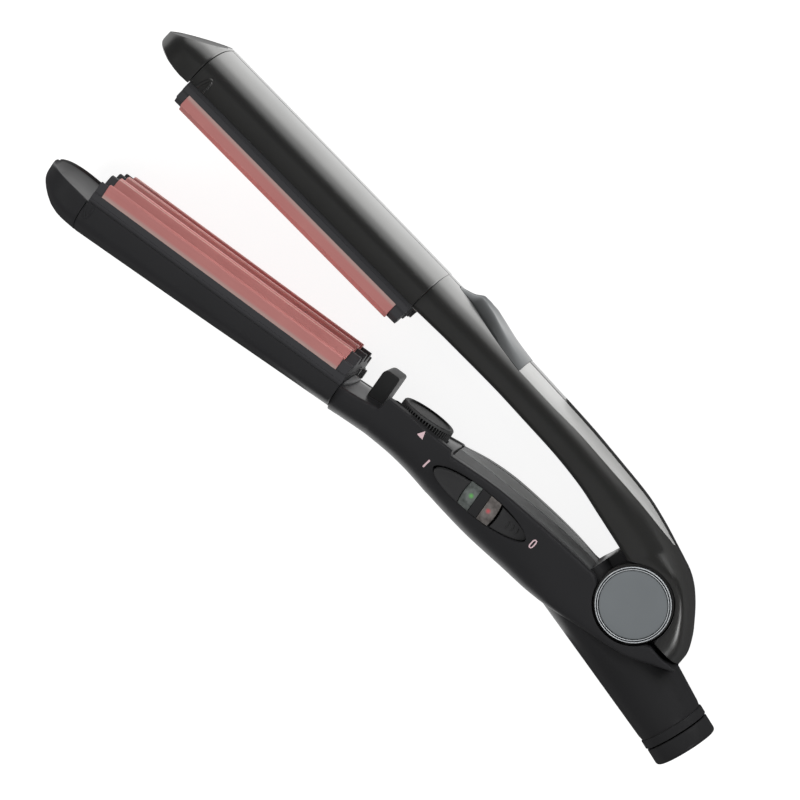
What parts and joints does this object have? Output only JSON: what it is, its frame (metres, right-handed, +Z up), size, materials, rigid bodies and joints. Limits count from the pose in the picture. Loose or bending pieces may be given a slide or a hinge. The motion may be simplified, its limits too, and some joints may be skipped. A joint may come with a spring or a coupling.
{
  "type": "hair straightener",
  "caption": "Hand-held hair straightener with two hinged arms, wave-ridged plates, thumb wheel, rocker switch, guide post and a round tail.",
  "frame": {"origin": "middle of the bounding box, on the floor that the barrels lie on", "axes": "+X along the lower arm from its tip to the tail, +Y towards the upper arm, +Z up along the hinge axis, on the side of the switch"},
  "size_m": [0.3268, 0.1224, 0.042],
  "materials": {
    "lower_shell": "fine satin black",
    "upper_shell": "satin dark grey",
    "tail_black": "fine satin black",
    "frame_black": "matte",
    "plate_rose": "satin rose coating",
    "strip_grey": "satin grey",
    "silver": "satin silver",
    "strip_black": "gloss black",
    "wheel_black": "matte",
    "switch_black": "satin",
    "lens_green": "tinted, see-through",
    "lens_red": "tinted, see-through",
    "disc_grey": "satin grey",
    "ring_clear": "bright",
    "steel": "bright",
    "bronze": "turned",
    "nylon": "natural white",
    "ceramic": "matte",
    "board_green": "solder mask",
    "pot_blue": "moulded",
    "led_clear": "clear",
    "wire_red": "matte"
  },
  "bodies": {
    "lower_arm": {"lower_nose": "lower_shell", "lower_barrel_front": "lower_shell", "lower_barrel_back": "lower_shell", "lower_plate_carrier": "frame_black", "lower_plate": "plate_rose", "lower_heater": "ceramic", "lower_heater_clamp": "steel", "temperature_sensor": "ceramic", "lower_thermal_fuse": "ceramic", "lower_handle_front": "lower_shell", "lower_handle_back": "lower_shell", "inner_strip": "strip_grey", "guide_post": "frame_black", "tail_body": "tail_black", "tail_collar": "tail_black", "tail_end_cap": "tail_black", "cord_clamp": "nylon", "hinge_bush": "bronze", "hinge_spring": "steel", "control_board": "board_green", "potentiometer": "pot_blue", "switch_body": "nylon", "rocker_bridge": "switch_black", "green_lens": "lens_green", "red_lens": "lens_red", "indicator_leds": "led_clear", "lower_barrel_screws": "steel", "lower_handle_screws": "steel", "lower_leads": "wire_red", "hinge_leads": "wire_red"},
    "upper_arm": {"upper_nose": "upper_shell", "upper_barrel_front": "upper_shell", "upper_barrel_back": "upper_shell", "upper_plate_carrier": "frame_black", "upper_plate": "plate_rose", "upper_heater": "ceramic", "upper_heater_clamp": "steel", "upper_thermal_fuse": "ceramic", "upper_handle_front": "upper_shell", "upper_handle_back": "upper_shell", "upper_barrel_screws": "steel", "upper_handle_screws": "steel", "upper_leads": "wire_red", "thumb_rest": "upper_shell", "silver_inlay": "silver", "top_strip": "strip_black", "hinge_pin": "steel", "hinge_washers": "nylon", "front_hinge_cap": "disc_grey", "back_hinge_cap": "disc_grey", "front_hinge_ring": "ring_clear", "back_hinge_ring": "ring_clear"},
    "dial": {"dial_wheel": "wheel_black"},
    "switch": {"rocker": "switch_black"},
    "cord_inlet": {"swivel_gland": "tail_black"}
  },
  "joints": [
    {"name": "arm_hinge", "type": "hinge", "parent": "lower_arm", "child": "upper_arm", "pos_m": [0.11163, -0.0151, 0.021], "axis": [0, 0, 1], "range_deg": [0, 9.2], "stiffness_Nm_per_rad": 0.5, "springref_deg": -8.59, "deforming": ["hinge_spring", "hinge_leads"]},
    {"name": "temperature_dial", "type": "hinge", "parent": "lower_arm", "child": "dial", "pos_m": [0.00893, -0.0055, 0.0227], "axis": [0, 1, 0], "range_deg": [0, 270]},
    {"name": "rocker_switch", "type": "hinge", "parent": "lower_arm", "child": "switch", "pos_m": [0.04413, -0.01815, 0.03295], "axis": [0, -0.9877, -0.1564], "range_deg": [0, 9]},
    {"name": "cord_swivel", "type": "hinge", "parent": "lower_arm", "child": "cord_inlet", "pos_m": [0.1581, -0.04949, 0.021], "axis": [0.9272, -0.3746, 0], "continuous": true}
  ]
}
